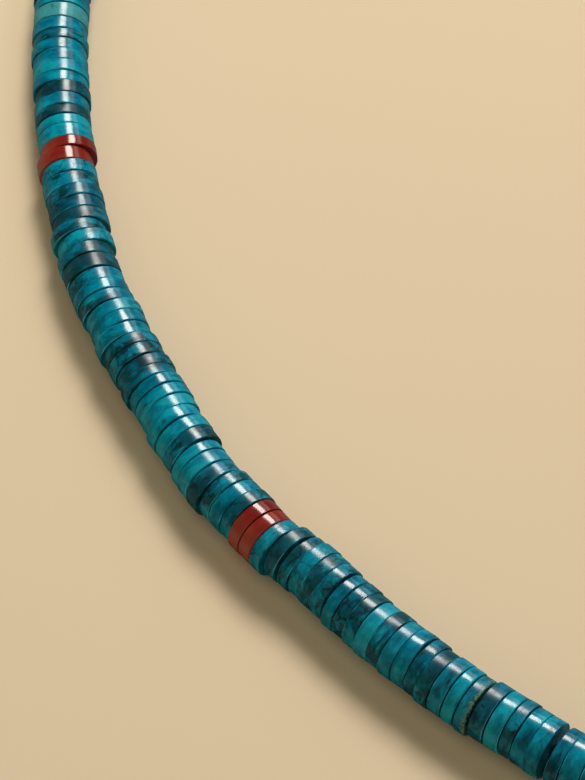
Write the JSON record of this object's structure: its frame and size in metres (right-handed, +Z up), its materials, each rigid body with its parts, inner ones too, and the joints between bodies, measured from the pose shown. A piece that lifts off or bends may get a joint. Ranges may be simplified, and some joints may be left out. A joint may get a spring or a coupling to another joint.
{
  "type": "beaded choker",
  "caption": "Closed choker of thin turquoise disc beads with evenly spaced pairs of red discs, on a thread with a barrel clasp.",
  "frame": {"origin": "on the surface that the choker lies on, below the middle of the closed loop's bounding box", "axes": "+Z up out of the loop's plane; +Y and +X across the open loop, +X to the right and +Y away as the picture shows the lying string"},
  "size_m": [0.127, 0.1338, 0.004],
  "materials": {
    "turquoise": "polished turquoise stone with dark brown-black matrix",
    "red_stone": "polished dark red stone",
    "thread": "dark twisted cord",
    "clasp_metal": "plain silver, satin"
  },
  "bodies": {
    "root": {"turquoise_front": "turquoise", "turquoise_back": "turquoise", "red_bead_01": "red_stone", "red_bead_02": "red_stone", "red_bead_03": "red_stone", "red_bead_04": "red_stone", "red_bead_05": "red_stone", "red_bead_06": "red_stone", "red_bead_07": "red_stone", "red_bead_08": "red_stone", "red_bead_09": "red_stone", "red_bead_10": "red_stone", "red_bead_11": "red_stone", "red_bead_12": "red_stone", "red_bead_13": "red_stone", "red_bead_14": "red_stone", "red_bead_15": "red_stone", "red_bead_16": "red_stone", "red_bead_17": "red_stone", "red_bead_18": "red_stone", "red_bead_19": "red_stone", "red_bead_20": "red_stone", "red_bead_21": "red_stone", "red_bead_22": "red_stone", "thread": "thread", "clasp": "clasp_metal"}
  },
  "joints": []
}
